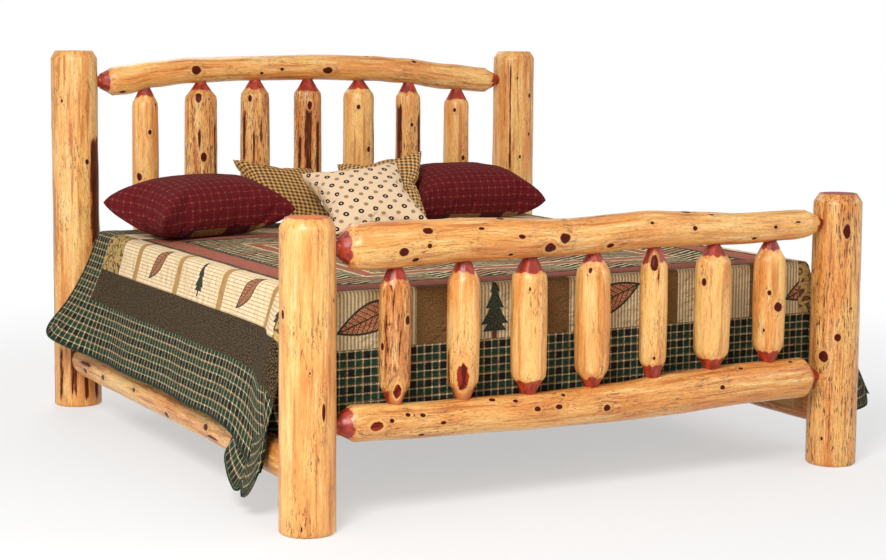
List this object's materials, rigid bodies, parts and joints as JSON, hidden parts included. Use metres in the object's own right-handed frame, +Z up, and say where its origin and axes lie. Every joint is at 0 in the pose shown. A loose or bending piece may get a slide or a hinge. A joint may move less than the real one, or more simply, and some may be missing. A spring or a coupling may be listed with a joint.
{
  "type": "rustic log bed",
  "caption": "King size bed of peeled logs: tenoned log headboard and footboard, hooked log side rails, slatted deck, mattress, quilt and pillows.",
  "frame": {"origin": "on the floor, at the middle of the bed's length and width", "axes": "+Z up, -Y towards the foot of the bed, +Y towards the headboard, X across the bed"},
  "size_m": [2.38, 2.38, 1.416],
  "materials": {
    "peeled_log": "satin",
    "sawn_softwood": "matte",
    "base_ticking": "matte",
    "mattress_ticking": "matte",
    "quilt_cotton": "matte",
    "maroon_plaid_cloth": "matte",
    "gold_check_cloth": "matte",
    "dotted_cloth": "matte",
    "glide_plastic": "matte",
    "zinc_steel": "satin",
    "screw_steel": "satin"
  },
  "bodies": {
    "bed_frame": {"box_spring_left": "base_ticking", "box_spring_right": "base_ticking", "centre_leg_1": "sawn_softwood", "centre_leg_2": "sawn_softwood", "centre_leg_3": "sawn_softwood", "cleat_screws": "screw_steel", "footboard_bottom_rail": "peeled_log", "footboard_post_left": "peeled_log", "footboard_post_right": "peeled_log", "footboard_spindle_1": "peeled_log", "footboard_spindle_2": "peeled_log", "footboard_spindle_3": "peeled_log", "footboard_spindle_4": "peeled_log", "footboard_spindle_5": "peeled_log", "footboard_spindle_6": "peeled_log", "footboard_spindle_7": "peeled_log", "footboard_top_rail": "peeled_log", "headboard_bottom_rail": "peeled_log", "headboard_post_left": "peeled_log", "headboard_post_right": "peeled_log", "headboard_spindle_1": "peeled_log", "headboard_spindle_2": "peeled_log", "headboard_spindle_3": "peeled_log", "headboard_spindle_4": "peeled_log", "headboard_spindle_5": "peeled_log", "headboard_spindle_6": "peeled_log", "headboard_spindle_7": "peeled_log", "headboard_top_rail": "peeled_log", "leg_glides": "glide_plastic", "leg_screws": "screw_steel", "rail_cleat_left": "sawn_softwood", "rail_cleat_right": "sawn_softwood", "rail_hook_plates": "zinc_steel", "rail_plate_screws": "screw_steel", "rail_receiver_plates": "zinc_steel", "side_rail_left": "peeled_log", "side_rail_right": "peeled_log", "slat_1": "sawn_softwood", "slat_2": "sawn_softwood", "slat_3": "sawn_softwood", "slat_4": "sawn_softwood", "slat_5": "sawn_softwood", "slat_screws": "screw_steel"},
    "mattress_set": {"mattress": "mattress_ticking", "quilt": "quilt_cotton", "pillow_check_left": "gold_check_cloth", "pillow_check_right": "gold_check_cloth"},
    "front_pillow": {"pillow_dotted": "dotted_cloth"},
    "left_sham": {"pillow_sham_left": "maroon_plaid_cloth"},
    "right_sham": {"pillow_sham_right": "maroon_plaid_cloth"}
  },
  "joints": [
    {"name": "mattress_lift", "type": "slide", "parent": "bed_frame", "child": "mattress_set", "axis": [0, 0, 1], "range_m": [0, 0.3]},
    {"name": "dotted_pillow_lift", "type": "slide", "parent": "mattress_set", "child": "front_pillow", "axis": [0, -0.5879, 0.8089], "range_m": [0, 0.24]},
    {"name": "left_sham_lift", "type": "slide", "parent": "mattress_set", "child": "left_sham", "axis": [-0.3497, -0.3497, 0.8692], "range_m": [0, 0.24]},
    {"name": "right_sham_lift", "type": "slide", "parent": "mattress_set", "child": "right_sham", "axis": [0.501, -0.3006, 0.8116], "range_m": [0, 0.24]}
  ]
}
